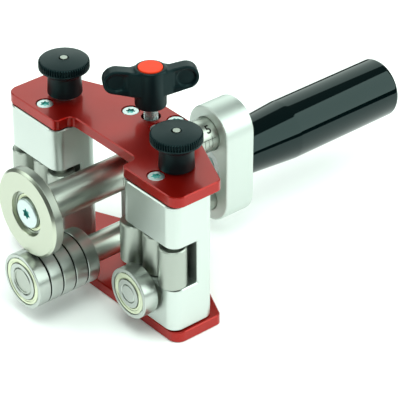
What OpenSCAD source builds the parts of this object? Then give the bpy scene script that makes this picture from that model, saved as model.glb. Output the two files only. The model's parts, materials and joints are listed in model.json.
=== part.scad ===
// Roller edge bender for sheet metal.
// The sheet lies on the bearing stack and on two support bearings, its edge runs along
// the upright rollers, and the forming disc folds it as the tool is pushed along.
// X is to the right, Y runs back along the shafts to the handle, Z is up.
// The origin is the middle of the bottom plate's underside.

/* [Plates] */
// Thickness of the top and bottom plates
plate_t = 5; // [4:0.5:8]
// How far the plates reach past the outer sides of the guide blocks
plate_overhang = 1.3; // [0.5:0.1:4]
// Radius of the plates' front corners
plate_corner_r = 5; // [2:0.5:8]
// Radius of the plates' side and back corners
plate_back_r = 3; // [1:0.5:4]
// Depth of the sight notch in the front of the top plate
notch_depth = 8.3; // [6.5:0.1:12]
// Radius of the notch's outer corners
notch_lip_r = 2.5; // [1:0.5:3]
// Radius of the notch's inner corners
notch_root_r = 3; // [1:0.5:3.5]

/* [Guide blocks] */
// Depth of one guide block, front to back
block_depth = 22; // [21.5:0.1:26]
// Wall between a block's inner side and the hole of its inner roller pin
block_inner_wall = 0.6; // [0.5:0.1:2]
// Wall between a block's outer side and the hole of its outer roller pin
block_outer_wall = 3.3; // [2:0.1:8]
// How far the blocks stand out in front of the plates
block_proud = 0.5; // [0.2:0.1:1]
// Radius of the blocks' upright corners
block_corner_r = 5; // [2:0.5:5.5]
// Gap between a block and each plate, which lets the block swing
block_end_gap = 0.3; // [0.3:0.05:0.5]
// Height of the roller window
window_h = 20; // [14:0.5:22]
// Height of the window's floor above the rest face
window_z = 25; // [24:0.5:28]
// Depth of the roller window
window_depth = 12.7; // [12.4:0.1:14]
// Swing of a guide block to each side, in degrees
block_swing = 8; // [4:1:9]

/* [Guide rollers] */
// Diameter of an upright roller
roller_d = 11.8; // [9:0.1:12]
// Gap between neighbouring rollers
roller_gap = 0.45; // [0.4:0.05:1]
// Distance from the tool's middle plane to the pivots and middle rollers
pivot_x = 36.4; // [35.8:0.1:42]
// Distance of the pivots behind the plates' front edge
pivot_back = 6; // [5.5:0.1:6.4]
// How far the outer and inner rollers stand in front of the middle one
roller_step = 1.9; // [1:0.1:2.4]
// Diameter of the rollers' dowel pins
roller_pin_d = 5; // [3:0.5:6]
// Diameter of the pivot pins
pivot_d = 8; // [6.5:0.5:9]

/* [Support bearings] */
// Outer diameter of a support bearing
support_d = 22; // [20:0.5:23]
// Bore of a support bearing and diameter of its axle
support_bore = 8; // [6:0.5:8]
// Width of a support bearing
support_w = 7; // [5:0.5:8]
// Distance from the tool's middle plane to a support axle
support_x = 35.6; // [35:0.1:40]
// How deep the axle is pressed into its block
support_seat = 12; // [6:0.5:15]
// Gap between a support bearing and its block
support_gap = 1.2; // [1.2:0.1:2]

/* [Index plungers] */
// Distance of the plungers behind the plates' front edge
plunger_back = 16.5; // [15.5:0.1:17]
// Diameter of the plunger pin
plunger_d = 5; // [3.5:0.5:5.5]
// Lift of a plunger
plunger_lift = 5; // [4.5:0.1:5.5]
// How deep the pin sits in the kidney slot
plunger_reach = 3.5; // [2.5:0.1:4]
// How much less deep the left plunger is screwed in
left_raise = 1.2; // [0:0.1:1.5]
// Diameter of the threaded part of the sleeve
sleeve_d = 10; // [8.5:0.1:12]
// Diameter of the sleeve's collar
collar_d = 12.5; // [11:0.1:14]
// Height of the sleeve's collar
collar_h = 1.6; // [0.8:0.1:2]
// Height of the knob's neck
neck_h = 9.9; // [8:0.1:14]
// Diameter of the knob's neck
neck_d = 14.8; // [14:0.1:18]
// Diameter of the knob's head over the ribs
knob_d = 21.6; // [20:0.1:26]
// Height of the ribbed rim
rim_h = 2.7; // [1.5:0.1:4]
// Number of ribs round a knob
rib_count = 72; // [36:4:90]

/* [Wing screw] */
// Diameter of the clamp screw's thread
stud_d = 6; // [5:0.5:8]
// Diameter of the clear hole for the thread in the top plate
stud_hole_d = 8.3; // [8.3:0.1:10]
// Diameter of the wing knob's hub
hub_d = 13.3; // [12:0.1:16]
// Height of the hub
hub_h = 17.6; // [15:0.1:22]
// Distance from the top plate to the hub
hub_gap = 5.5; // [3:0.1:8]
// Distance between the middles of the two wing ends
wing_span = 28.8; // [24:0.1:36]
// Radius of a wing's round end
wing_r = 5.4; // [4.8:0.1:6.5]
// Thickness of the wings
wing_t = 5.6; // [4:0.1:6.5]
// Direction of the wings, in degrees from the X axis
wing_angle = 59; // [0:1:180]
// Travel of the clamp screw in one turn
thread_pitch = 1; // [0.8:0.05:1.25]

/* [Shafts and block] */
// Diameter of the upper shaft
upper_d = 14.8; // [13:0.1:16]
// Diameter of the lower shaft
lower_d = 12; // [11:0.1:12]
// Height of the lower shaft's axis above the rest face
lower_z = 18; // [17.5:0.1:20]
// Width of the shaft block
clamp_w = 24; // [23:0.5:25]
// Depth of the shaft block
clamp_depth = 16.6; // [16:0.1:24]
// Height of the shaft block above the upper shaft, where the clamp screw sits
clamp_head = 8.1; // [7.6:0.1:12]
// Distance from the guide blocks' backs to the shaft block
clamp_back_gap = 4.5; // [4:0.1:8]
// Wall of the plain bushes
bush_wall = 1.5; // [1:0.1:1.8]

/* [Yoke and handle] */
// Distance from the back of the plates to the yoke in the position shown
yoke_gap = 20.5; // [12:0.5:40]
// Thickness of the yoke
yoke_t = 15.4; // [14:0.1:20]
// Width of the yoke, which is also the diameter of its round ends
yoke_w = 25; // [22:0.5:30]
// Width of the bevel round the yoke's faces
yoke_edge = 0.8; // [0.4:0.1:2]
// How deep the shafts sit in the yoke
yoke_seat = 9; // [6:0.5:10]
// Diameter of the handle
handle_d = 27; // [24:0.5:34]
// Diameter of the handle where it meets the yoke
handle_neck_d = 23; // [18:0.5:24]
// Length of the handle
handle_len = 85.5; // [70:0.5:130]
// Length of the handle's tapered part
handle_taper = 27; // [12:0.5:35]
// Radius of the handle's end edge
handle_edge_r = 2; // [1:0.5:4]
// Diameter of the handle bolt
bolt_d = 8; // [6:0.5:9]

/* [Forming disc] */
// Diameter of the forming disc
disc_d = 38.2; // [34:0.1:40]
// Thickness of the forming disc's rim
disc_t = 5; // [4:0.1:6]
// Height of the hub behind the disc
disc_hub_h = 2; // [2:0.1:4]
// Diameter of the hub behind the disc
disc_hub_d = 24; // [22.5:0.5:26]
// Gap between the disc and the bearing stack, the thickest sheet
nip = 0.4; // [0.4:0.1:1.5]
// Outer diameter of the disc's bearing
disc_bearing_d = 19; // [18.5:0.5:21]
// Bore of the disc's bearing
disc_bore = 10; // [9.5:0.5:10.5]
// Diameter of the disc screw's head
disc_head_d = 13; // [12.5:0.1:13.5]

/* [Bearing stack] */
// Number of bearings in the stack
stack_count = 5; // [3:1:5]
// Outer diameter of a stack bearing
stack_d = 24; // [22.8:0.1:25]
// Width of a stack bearing
stack_w = 6; // [5:0.1:7]
// Thickness of the shims between the stack bearings
shim_t = 0.3; // [0.3:0.05:0.6]
// How far the stack's front stands in front of the disc's front face
stack_lead = 3.4; // [1:0.1:6]
// Distance from the disc's front face to the plates' front edge
disc_reach = 32; // [26:0.5:44]

/* [Screws] */
// Thread diameter of the countersunk screws
screw_d = 4; // [3:0.5:4.5]
// Head diameter of the countersunk screws
screw_head_d = 7; // [6.5:0.1:7.5]
// Length of the countersunk screws
screw_len = 12; // [9:0.5:14]
// Sideways distance of the shaft block's screws from the middle
clamp_screw_x = 9; // [8.6:0.1:9.2]

/* [Hidden] */

// Colours of the real object
red = "firebrick";
aluminium = "silver";
steel = "lightgray";
zinc = "gainsboro";
bronze = "peru";
black = [0.13, 0.14, 0.15];
orange = "orangered";
shield_yellow = [0.78, 0.80, 0.62];

// Cuts run past the faces that they open by this much
over = 1;
// Fits, as a gap on the radius
running = 0.05;
seat_gap = 0.01;
hole_gap = 0.2;
slot_gap = 0.3;
$fn = 64;
arc_steps = 8;
left = -1;
right = 1;

// Places along Y
clamp_lip = 0.4;
plate_depth = block_depth - block_proud + clamp_back_gap + clamp_depth + clamp_lip;
front_y = -plate_depth / 2;
back_y = plate_depth / 2;
block_front_y = front_y - block_proud;
block_back_y = block_front_y + block_depth;
clamp_front_y = block_back_y + clamp_back_gap;
clamp_mid_y = clamp_front_y + clamp_depth / 2;
stud_forward = 1.3;
stud_y = clamp_mid_y - stud_forward;
pivot_y = front_y + pivot_back;
plunger_y = front_y + plunger_back;
disc_y = front_y - disc_reach;
stack_y = disc_y - stack_lead;
yoke_y = back_y + yoke_gap;
handle_y = yoke_y + yoke_t;

// Places along X
roller_pitch = sqrt(pow(roller_d + roller_gap, 2) - pow(roller_step, 2));
block_inner_x = pivot_x - roller_pitch - roller_pin_d / 2 - block_inner_wall;
block_outer_x = pivot_x + roller_pitch + roller_pin_d / 2 + block_outer_wall;
block_w = block_outer_x - block_inner_x;
plate_half_w = block_outer_x + plate_overhang;
back_margin = 0.5;
plate_back_half_w = clamp_w / 2 + back_margin;
side_margin = 2;
plate_side = block_depth - block_proud + side_margin;

// Places along Z
sheet_z = lower_z + stack_d / 2;
upper_z = sheet_z + nip + disc_d / 2;
support_z = sheet_z - support_d / 2;
top_z = upper_z + upper_d / 2 + clamp_head;
clamp_h = top_z - plate_t;
block_h = clamp_h - 2 * block_end_gap;
block_z = plate_t + block_end_gap;

// Notch between the legs of the top plate
notch_margin = 0.3;
notch_half_w = block_inner_x + notch_margin;

// Guide rollers and their pins
roller_end_gap = 0.3;
roller_top_gap = 1.3;
roller_chamfer = 0.5;
roller_h = window_h - roller_end_gap - roller_top_gap;
roller_z = window_z + roller_end_gap;
pin_under = 1.5;
pin_over = 4.5;
pin_z = window_z - pin_under;
pin_len = window_h + pin_under + pin_over;
pin_chamfer = 0.4;
pivot_bore_extra = 0.6;
pivot_floor = 0.9;
pivot_top_len = top_z - pin_z - pin_len - pivot_floor - pivot_bore_extra;
pivot_low_len = support_z - support_bore / 2 - pivot_floor - pivot_bore_extra - plate_t;

// Kidney slot for the plunger pin, measured from the pivot
slot_r = plunger_back - pivot_back;
slot_depth = plunger_reach + slot_gap;

// Index plunger
sleeve_wall = 1.2;
sleeve_top_wall = 1.4;
sleeve_under_gap = 0.4;
sleeve_z = top_z + sleeve_under_gap;
knob_rest_gap = 0.5;
collar_z = top_z + plate_t;
neck_skirt = 0.6;
knob_z = collar_z + collar_h - neck_skirt;
neck_wall_r = collar_d / 2 + hole_gap;
sleeve_head_room = 2.6;
sleeve_top_z = knob_z + neck_h - sleeve_head_room;
sleeve_step = 0.6;
sleeve_neck_d = sleeve_d - sleeve_step;
spring_wire = 0.7;
spring_turns = 5.5;
spring_steps = 14;
spring_sides = 6;
pin_collar_h = 1.2;
pin_collar_d = sleeve_d - 2 * sleeve_wall - 2 * hole_gap;
pin_collar_rest = 0.3;
sleeve_floor = 1.2;
pin_collar_z = sleeve_z + sleeve_floor + pin_collar_rest;
dome_h = 1.1;
pin_top_d = 3.2;
pin_top_h = 0.2;
pin_dish_d = 4.4;
rim_flare = 2;
rib_depth = 0.35;
rib_land = 0.15;
neck_edge_r = 1.6;
knob_rim_z = knob_z + neck_h + rim_flare;
knob_top_z = knob_rim_z + rim_h;

// Wing screw
hub_z = top_z + plate_t + hub_gap;
hub_edge_r = 2.6;
cap_d = 10.7;
cap_t = 1.6;
cap_proud = 0.5;
wing_drop = 4.8;
web_drop = 7.7;
web_sag = 0.9;
dish_d = 8.4;
dish_depth = 0.9;
hub_top_z = hub_z + hub_h;
wing_z = hub_top_z - wing_drop;
pad_h = 2.2;
pad_gap = 0.1;
pad_z = upper_z + upper_d / 2 + pad_gap;
stud_z = pad_z + pad_h + pad_gap;
stud_in_hub = 11;
thread_gap = 0.15;

// Shafts
journal_len = 5;
journal_recess = 1.8;
thread_m6_d = 6;
shaft_chamfer = 0.6;
disc_screw_len = 14;
disc_head_recess = 0.3;
disc_head_t = journal_recess - disc_head_recess;
hex_depth_share = 0.6;
front_dish_d = 9.6;
front_dish_h = 0.3;
yoke_shaft_end = yoke_y + yoke_seat;
yoke_end_drop = 11.1;
yoke_end_rise = 12.5;
yoke_low_z = lower_z - yoke_end_drop;
yoke_top_z = upper_z + yoke_end_rise;
handle_z = (yoke_low_z + yoke_top_z) / 2;
bolt_head_d = 13;
bolt_head_h = 8;
bolt_recess_d = 15;
bolt_recess_h = 9;
bolt_into_handle = 24;
insert_wall = 2.5;
insert_len = 28;
insert_flange_h = 1.5;
insert_flange_wall = 1.6;
handle_front_edge = 0.8;

// Ball bearings, as [outer radius, bore radius, width, outer land, inner land, ball radius]
ring_chamfer = 0.3;
race_gap = 0.06;
shield_t = 0.3;
shield_inset = 0.2;
shield_seat = 0.5;
shield_run_gap = 0.35;
outer_land_share = 0.76;
inner_land_share = 0.32;
ball_share = 0.26;
ball_count = 9;
stack_pitch = stack_w + shim_t;

// Countersunk screws
head_sink = 0.3;
head_h = (screw_head_d - screw_d) / 2;
head_rim = 0.4;
head_clear = 0.4;
socket_d = 3.4;
socket_depth = 1.6;
clamp_screw_front = 3.5;
clamp_screw_pitch = 9.3;

function land(out_r, bore_r, share) = bore_r + (out_r - bore_r) * share;
function bearing(d, bore, w) = [
    d / 2, bore / 2, w,
    land(d / 2, bore / 2, outer_land_share),
    land(d / 2, bore / 2, inner_land_share),
    (d - bore) / 2 * ball_share
];
stack_b = bearing(stack_d, lower_d, stack_w);
support_b = bearing(support_d, support_bore, support_w);
disc_b = bearing(disc_bearing_d, disc_bore, journal_len);

// Points of an arc that rounds the corner q between p and n with radius r
function unit(v) = v / norm(v);
function cross_z(a, b) = a[0] * b[1] - a[1] * b[0];
function corner(p, q, n, r) =
    let (a = unit(p - q), b = unit(n - q), half = acos(a * b) / 2)
    let (back = r / tan(half), centre = q + unit(a + b) * r / sin(half))
    let (from = q + a * back - centre, turn = sign(cross_z(-a, b)) * (180 - 2 * half))
    [for (i = [0:arc_steps]) let (t = turn * i / arc_steps)
        centre + [from[0] * cos(t) - from[1] * sin(t), from[0] * sin(t) + from[1] * cos(t)]];
function rounded(points, radii) =
    let (n = len(points))
    [for (i = [0:n - 1])
        each corner(points[(i + n - 1) % n], points[i], points[(i + 1) % n], radii[i])];

module along_y(x, y, z) {
    translate([x, y, z]) rotate([-90, 0, 0]) children();
}

// Turned solid on the Z axis from points [radius, height]
module turned(points) {
    rotate_extrude() polygon(points);
}

module pin(d, h, chamfer) {
    turned([[0, 0], [d / 2 - chamfer, 0], [d / 2, chamfer], [d / 2, h - chamfer],
            [d / 2 - chamfer, h], [0, h]]);
}

module tube(outer_d, inner_d, h) {
    difference() {
        cylinder(d = outer_d, h = h);
        translate([0, 0, -over]) cylinder(d = inner_d, h = h + 2 * over);
    }
}

// Ball bearing pieces, along +Z from the bearing's front face
module outer_ring(b) {
    seat_r = b[3] + shield_seat;
    step = shield_inset + shield_t;
    difference() {
        turned([[b[3], step], [seat_r, step], [seat_r, 0], [b[0] - ring_chamfer, 0],
                [b[0], ring_chamfer], [b[0], b[2] - ring_chamfer], [b[0] - ring_chamfer, b[2]],
                [seat_r, b[2]], [seat_r, b[2] - step], [b[3], b[2] - step]]);
        race(b);
    }
    for (z = [shield_inset, b[2] - step + seat_gap]) {
        translate([0, 0, z])
            tube(2 * (seat_r - seat_gap), 2 * (b[4] + shield_run_gap), shield_t - seat_gap);
    }
}

module inner_ring(b) {
    bore_r = b[1] + seat_gap;
    difference() {
        turned([[bore_r + ring_chamfer, 0], [b[4], 0], [b[4], b[2]],
                [bore_r + ring_chamfer, b[2]], [bore_r, b[2] - ring_chamfer],
                [bore_r, ring_chamfer]]);
        race(b);
    }
}

module race(b) {
    rotate_extrude() translate([(b[3] + b[4]) / 2, b[2] / 2]) circle(r = b[5] + race_gap);
}

module balls(b) {
    for (i = [0:ball_count - 1]) {
        rotate([0, 0, i * 360 / ball_count])
            translate([(b[3] + b[4]) / 2, 0, b[2] / 2]) sphere(r = b[5], $fn = 24);
    }
}

// Countersunk screw with its head up at z = 0
module countersunk() {
    difference() {
        turned([[0, 0], [screw_head_d / 2, 0], [screw_head_d / 2, -head_rim],
                [screw_d / 2, -head_rim - head_h], [screw_d / 2, -screw_len], [0, -screw_len]]);
        translate([0, 0, -socket_depth]) cylinder(d = socket_d, h = socket_depth + over, $fn = 6);
    }
}

// Hole for a countersunk screw, from a plate's face at z = 0
module countersink(depth) {
    cylinder(d = screw_head_d + 2 * head_clear, h = 2 * (head_sink + head_rim), center = true);
    translate([0, 0, -head_sink - head_rim - head_h]) {
        cylinder(d1 = screw_d + 2 * hole_gap, d2 = screw_head_d + 2 * hole_gap, h = head_h);
    }
    translate([0, 0, -depth]) cylinder(d = screw_d + 2 * hole_gap, h = depth);
}

module screw_places() {
    for (side = [left, right]) {
        translate([side * pivot_x, pivot_y]) children();
        for (row = [0, 1]) {
            y = clamp_front_y + clamp_screw_front + row * clamp_screw_pitch;
            translate([side * clamp_screw_x, y]) children();
        }
    }
}

// Plates
function right_side() = [
    [plate_half_w, front_y], [plate_half_w, front_y + plate_side], [plate_back_half_w, back_y]
];
function left_side() = [
    [-plate_back_half_w, back_y], [-plate_half_w, front_y + plate_side], [-plate_half_w, front_y]
];
function notch() = [
    [-notch_half_w, front_y], [-notch_half_w, front_y + notch_depth],
    [notch_half_w, front_y + notch_depth], [notch_half_w, front_y]
];
side_radii = [plate_corner_r, plate_back_r, plate_back_r];
side_radii_back = [plate_back_r, plate_back_r, plate_corner_r];

module top_plate() {
    outline = rounded(concat(right_side(), left_side(), notch()),
        concat(side_radii, side_radii_back, [notch_lip_r, notch_root_r, notch_root_r, notch_lip_r]));
    color(red) difference() {
        translate([0, 0, top_z]) linear_extrude(plate_t) polygon(outline);
        translate([0, 0, top_z + plate_t]) screw_places() countersink(plate_t + over);
        translate([0, stud_y, top_z - over]) cylinder(d = stud_hole_d, h = plate_t + 2 * over);
        for (side = [left, right]) {
            translate([side * pivot_x, plunger_y, top_z - over])
                cylinder(d = sleeve_d + 2 * seat_gap, h = plate_t + 2 * over);
        }
    }
}

module bottom_plate() {
    outline = rounded(concat(right_side(), left_side()), concat(side_radii, side_radii_back));
    color(red) difference() {
        linear_extrude(plate_t) polygon(outline);
        mirror([0, 0, 1]) screw_places() countersink(plate_t + over);
    }
}

module top_plate_screws() {
    color(zinc) translate([0, 0, top_z + plate_t - head_sink]) screw_places() countersunk();
}

module bottom_plate_screws() {
    color(zinc) translate([0, 0, head_sink]) mirror([0, 0, 1]) screw_places() countersunk();
}

// Shaft block
module shaft_block() {
    color(aluminium) difference() {
        translate([-clamp_w / 2, clamp_front_y, plate_t]) cube([clamp_w, clamp_depth, clamp_h]);
        along_y(0, clamp_front_y - over, upper_z)
            cylinder(d = upper_d + 2 * bush_wall, h = clamp_depth + 2 * over);
        along_y(0, clamp_front_y - over, lower_z)
            cylinder(d = lower_d + 2 * bush_wall, h = clamp_depth + 2 * over);
        translate([0, stud_y, upper_z])
            cylinder(d = stud_d + 2 * thread_gap, h = top_z + over - upper_z);
        for (side = [left, right], row = [0, 1], end = [0, 1]) {
            y = clamp_front_y + clamp_screw_front + row * clamp_screw_pitch;
            z = end == 0 ? plate_t - over : top_z + over - screw_bore_len();
            translate([side * clamp_screw_x, y, z])
                cylinder(d = screw_d + 2 * seat_gap, h = screw_bore_len());
        }
    }
}
function screw_bore_len() = screw_len - plate_t + head_sink + 2 * over;

module bush(shaft_d, z) {
    along_y(0, clamp_front_y, z)
        tube(shaft_d + 2 * bush_wall - 2 * seat_gap, shaft_d + 2 * running, clamp_depth);
}

// The clamp pad reaches the shaft through the upper bush
module upper_shaft_bush() {
    color(bronze) difference() {
        bush(upper_d, upper_z);
        translate([0, stud_y, upper_z]) cylinder(d = stud_d + 2 * thread_gap, h = clamp_h);
    }
}

module lower_shaft_bush() {
    color(bronze) bush(lower_d, lower_z);
}

// Guide blocks, with their pivots, rollers and support bearings
module pivot_pins(side) {
    color(steel) translate([side * pivot_x, pivot_y]) {
        difference() {
            translate([0, 0, top_z - pivot_top_len])
                pin(pivot_d, pivot_top_len - seat_gap, pin_chamfer);
            translate([0, 0, top_z - screw_bore_len() + over])
                cylinder(d = screw_d + 2 * seat_gap, h = screw_bore_len());
        }
        difference() {
            translate([0, 0, plate_t + seat_gap]) pin(pivot_d, pivot_low_len, pin_chamfer);
            translate([0, 0, plate_t - over]) cylinder(d = screw_d + 2 * seat_gap,
                h = screw_bore_len());
        }
    }
}

function block_outline() = rounded([
    [block_inner_x, block_front_y], [block_outer_x, block_front_y],
    [block_outer_x, block_back_y], [block_inner_x, block_back_y]],
    [block_corner_r, block_corner_r, block_corner_r, block_corner_r]);

// A block is drawn on the right; the left one is its mirror image
module guide_block(side) {
    pivot_hole = pivot_d + 2 * running;
    slot_w = plunger_d + 2 * slot_gap;
    low_bore = pivot_low_len + pivot_bore_extra;
    high_bore = pivot_top_len + pivot_bore_extra;
    color(aluminium) scale_side(side) difference() {
        translate([0, 0, block_z]) linear_extrude(block_h) polygon(block_outline());
        translate([block_inner_x - over, block_front_y - over, window_z])
            cube([block_w + 2 * over, window_depth + over, window_h]);
        translate([pivot_x, pivot_y, plate_t]) cylinder(d = pivot_hole, h = low_bore);
        translate([pivot_x, pivot_y, top_z - high_bore]) cylinder(d = pivot_hole, h = high_bore);
        for (i = [-1, 0, 1]) {
            translate([pivot_x + i * roller_pitch, roller_y(i), pin_z])
                cylinder(d = roller_pin_d + 2 * seat_gap, h = top_z + over - pin_z);
        }
        translate([pivot_x, pivot_y, top_z - block_end_gap - slot_depth])
            kidney(slot_r, slot_w, slot_depth + over);
        along_y(support_x, block_front_y - over, support_z)
            cylinder(d = support_bore + 2 * seat_gap, h = support_seat + over);
    }
}
function roller_y(i) = pivot_y - (i == 0 ? 0 : roller_step);

module scale_side(side) {
    if (side == left) {
        mirror([1, 0, 0]) children();
    } else {
        children();
    }
}

// Slot along an arc round the origin, centred on +Y, with round ends
module kidney(r, w, h) {
    reach = block_swing;
    rotate([0, 0, 90 - reach]) rotate_extrude(angle = 2 * reach)
        translate([r - w / 2, 0]) square([w, h]);
    for (t = [-reach, reach]) {
        rotate([0, 0, t]) translate([0, r]) cylinder(d = w, h = h);
    }
}

module roller_pins(side) {
    color(steel) scale_side(side) for (i = [-1, 0, 1]) {
        translate([pivot_x + i * roller_pitch, roller_y(i), pin_z + seat_gap])
            pin(roller_pin_d, pin_len, pin_chamfer);
    }
}

module roller(side, i) {
    r = roller_d / 2;
    bore = roller_pin_d / 2 + running;
    c = roller_chamfer;
    color(steel) scale_side(side)
        translate([pivot_x + i * roller_pitch, roller_y(i), roller_z])
            turned([[bore, 0], [r - c, 0], [r, c], [r, roller_h - c], [r - c, roller_h],
                    [bore, roller_h]]);
}

module support_axle(side) {
    front = support_w + support_gap;
    color(steel) scale_side(side) along_y(support_x, block_front_y - front, support_z) {
        pin(support_bore, front + support_seat - seat_gap, pin_chamfer);
        translate([0, 0, support_w]) tube(support_shoulder_d, support_bore, support_gap - seat_gap);
    }
}
support_shoulder_d = 2 * support_b[4] - ring_chamfer;

module support_place(side) {
    scale_side(side)
        along_y(support_x, block_front_y - support_gap - support_w, support_z) children();
}

module support_inner_ring(side) {
    color(steel) support_place(side) inner_ring(support_b);
}

module support_bearing(side) {
    color(shield_yellow) support_place(side) outer_ring(support_b);
}

module support_balls(side) {
    color(steel) support_place(side) balls(support_b);
}

// Index plungers
module plunger_place(side) {
    translate([side * pivot_x, plunger_y, side == left ? left_raise : 0]) children();
}

module plunger_sleeve(side) {
    chamber_d = sleeve_d - 2 * sleeve_wall;
    guide_d = plunger_d + 2 * running;
    color(zinc) plunger_place(side) difference() {
        union() {
            translate([0, 0, sleeve_z]) cylinder(d = sleeve_d, h = collar_z - sleeve_z);
            translate([0, 0, collar_z]) cylinder(d = collar_d, h = collar_h);
            translate([0, 0, collar_z]) cylinder(d = sleeve_neck_d, h = sleeve_top_z - collar_z);
        }
        translate([0, 0, sleeve_z - over]) cylinder(d = guide_d, h = sleeve_top_z - sleeve_z + 2 * over);
        translate([0, 0, sleeve_z + sleeve_floor])
            cylinder(d = chamber_d, h = sleeve_top_z - sleeve_top_wall - sleeve_z - sleeve_floor);
    }
}

module plunger_pin(side) {
    low = top_z - block_end_gap - plunger_reach;
    high = knob_top_z + dome_h + pin_top_h;
    head = knob_z + neck_h;
    color(steel) plunger_place(side) turned([
        [0, low], [plunger_d / 2 - pin_chamfer, low], [plunger_d / 2, low + pin_chamfer],
        [plunger_d / 2, pin_collar_z], [pin_collar_d / 2, pin_collar_z],
        [pin_collar_d / 2, pin_collar_z + pin_collar_h],
        [plunger_d / 2, pin_collar_z + pin_collar_h], [plunger_d / 2, head],
        [pin_top_d / 2, head], [pin_top_d / 2, high], [0, high]]);
}

module plunger_spring(side) {
    low = pin_collar_z + pin_collar_h + spring_wire / 2 + seat_gap;
    high = sleeve_top_z - sleeve_top_wall - spring_wire / 2 - seat_gap;
    r = (plunger_d + pin_collar_d) / 4 + spring_wire / 4;
    color(steel) plunger_place(side) translate([0, 0, low]) coil(r, high - low);
}

// Open coil of round wire
module coil(r, h) {
    n = spring_turns * spring_steps;
    k = spring_sides;
    points = [for (i = [0:n], j = [0:k - 1])
        let (t = 360 * i / spring_steps, a = 360 * j / k, q = r + spring_wire / 2 * cos(a))
        [q * cos(t), q * sin(t), h * i / n + spring_wire / 2 * sin(a)]];
    sides = [for (i = [0:n - 1], j = [0:k - 1])
        let (a = i * k + j, b = i * k + (j + 1) % k)
        each [[a, a + k, b], [b, a + k, b + k]]];
    ends = [for (j = [1:k - 2]) each [[0, j, j + 1], [n * k, n * k + j + 1, n * k + j]]];
    polyhedron(points = points, faces = concat(sides, ends), convexity = 10);
}

module knob(side) {
    r = knob_d / 2;
    neck_r = neck_d / 2;
    inner_r = neck_wall_r;
    inner_h = sleeve_top_z - knob_z + knob_rest_gap;
    bore_r = plunger_d / 2 + seat_gap;
    top_bore_r = pin_top_d / 2 + seat_gap;
    waist = neck_h / 2;
    rib_r = r - rib_depth;
    cap_r = rib_r - rib_land;
    color(black) plunger_place(side) translate([0, 0, knob_z]) {
        difference() {
            union() {
                turned([[0, 0], [neck_r - neck_edge_r, 0], [neck_r - neck_edge_r / 3, neck_edge_r / 3],
                        [neck_r, neck_edge_r], [neck_r - neck_taper, waist],
                        [neck_r, neck_h], [r - rim_flare, neck_h + rim_flare / 2],
                        [cap_r, neck_h + rim_flare], [0, neck_h + rim_flare]]);
                translate([0, 0, neck_h + rim_flare])
                    linear_extrude(rim_h) polygon(ribbed(r, rib_r));
                translate([0, 0, neck_h + rim_flare + rim_h])
                    turned([[0, 0], [cap_r, 0], [cap_r - dome_edge, dome_edge],
                            for (t = dome_shares)
                                [cap_r * (1 - t), dome_edge + (dome_h - dome_edge) * dome_rise(t)],
                            [0, dome_h]]);
            }
            translate([0, 0, -over]) cylinder(r = inner_r, h = inner_h + over);
            translate([0, 0, -over]) cylinder(r = bore_r, h = neck_h + over + seat_gap);
            cylinder(r = top_bore_r, h = knob_top_z - knob_z + dome_h + over);
            translate([0, 0, knob_top_z - knob_z + dome_h - pin_top_h])
                cylinder(d = pin_dish_d, h = over);
        }
    }
}
neck_taper = 0.5;
dome_edge = 0.4;
dome_shares = [0.2, 0.4, 0.6, 0.8];
function dome_rise(t) = 1 - (1 - t) * (1 - t);
function ribbed(r, root_r) = [
    for (i = [0:2 * rib_count - 1]) let (t = 180 * i / rib_count, q = i % 2 == 0 ? r : root_r)
        [q * cos(t), q * sin(t)]
];

// Wing screw
module wing_knob() {
    h = hub_h - cap_t + cap_proud;
    color(black) translate([0, stud_y]) difference() {
        union() {
            translate([0, 0, hub_z]) turned([
                [0, 0], for (t = [0:15:90])
                    [hub_d / 2 - hub_edge_r * (1 - sin(t)), hub_edge_r * (1 - cos(t))],
                [hub_d / 2, hub_h - hub_top_edge], [hub_d / 2 - hub_top_edge, hub_h], [0, hub_h]]);
            rotate([0, 0, wing_angle]) rotate([90, 0, 0])
                translate([0, 0, -wing_t / 2]) linear_extrude(wing_t) wing_outline();
        }
        rotate([0, 0, wing_angle]) for (end = [left, right], face = [left, right]) {
            translate([end * wing_span / 2, face * wing_t / 2, wing_z]) rotate([90, 0, 0])
                cylinder(d = dish_d, h = 2 * dish_depth, center = true);
        }
        translate([0, 0, hub_z + h]) cylinder(d = cap_d + 2 * seat_gap, h = cap_t + over);
        translate([0, 0, hub_z - over]) cylinder(d = stud_d + 2 * seat_gap, h = stud_in_hub + over);
    }
}
hub_top_edge = 0.6;

module wing_outline() {
    half = wing_span / 2;
    for (end = [left, right]) {
        translate([end * half, wing_z]) circle(r = wing_r);
    }
    polygon([
        [-half, wing_z + wing_r], [-hub_d / 2, hub_top_z - web_sag], [hub_d / 2, hub_top_z - web_sag],
        [half, wing_z + wing_r], [half + wing_r / 3, wing_z - wing_r * wing_cut_share],
        [hub_d / 2, wing_z - web_drop], [-hub_d / 2, wing_z - web_drop],
        [-half - wing_r / 3, wing_z - wing_r * wing_cut_share]]);
}
wing_cut_share = 0.94;

module wing_cap() {
    color(orange) translate([0, stud_y, hub_top_z - cap_t + cap_proud])
        turned([[0, seat_gap], [cap_d / 2, seat_gap], [cap_d / 2, cap_t - cap_edge],
                [cap_d / 2 - cap_edge, cap_t], [0, cap_t]]);
}
cap_edge = 0.3;

module wing_stud() {
    color(zinc) translate([0, stud_y, stud_z])
        pin(stud_d, hub_z + stud_in_hub - seat_gap - stud_z, stud_chamfer);
}
stud_chamfer = 0.5;

module clamp_pad() {
    color(bronze) translate([0, stud_y, pad_z]) cylinder(d = stud_d - pad_less, h = pad_h);
}
pad_less = 0.4;

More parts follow.
